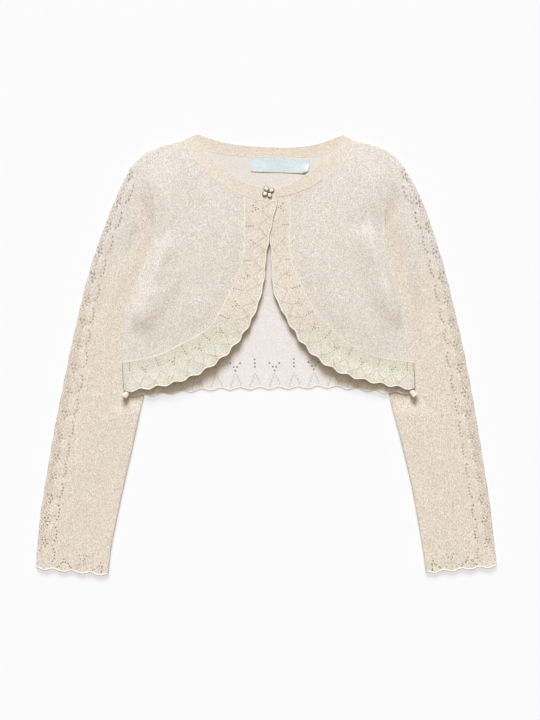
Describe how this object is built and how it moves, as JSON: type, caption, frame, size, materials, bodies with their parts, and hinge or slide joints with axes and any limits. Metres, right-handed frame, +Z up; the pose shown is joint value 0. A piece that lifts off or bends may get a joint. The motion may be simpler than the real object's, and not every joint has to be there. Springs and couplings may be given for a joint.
{
  "type": "girl's knitted bolero jacket, laid flat",
  "caption": "Cropped fine-knit bolero with rounded cut-away fronts, scalloped pointelle edging, long leaf-lace sleeves, a crew neckband and one flower button, lying flat.",
  "frame": {"origin": "on the surface that the jacket lies on, under the middle of its bounding box", "axes": "+Z up from the surface, out of the front of the jacket; +Y from the hem to the neck; +X to the viewer's right, the wearer's left"},
  "size_m": [0.5085, 0.4852, 0.0109],
  "materials": {
    "body_knit": "fine-gauge heathered cream knit with a metallic thread",
    "sleeve_knit": "fine-gauge heathered cream knit with a leaf-lace column",
    "knit_inside": "paler reverse face of the knit",
    "edging_knit": "scalloped pointelle knit with eyelets",
    "neckband_knit": "smooth close-knit band",
    "label_satin": "woven pale blue satin, bare",
    "button_metal": "antique silver plating",
    "button_stone": "polished clear and cream resin stones"
  },
  "bodies": {
    "root": {"back_panel": "knit_inside", "back_neckband": "neckband_knit", "right_front_panel": "body_knit", "right_front_edging": "edging_knit", "right_neckband": "neckband_knit", "right_sleeve": "sleeve_knit", "left_front_panel": "body_knit", "left_front_edging": "edging_knit", "left_neckband": "neckband_knit", "left_sleeve": "sleeve_knit", "neck_label": "label_satin", "button_setting": "button_metal", "button_stone_1": "button_stone", "button_stone_2": "button_stone", "button_stone_3": "button_stone", "button_stone_4": "button_stone"}
  },
  "joints": []
}
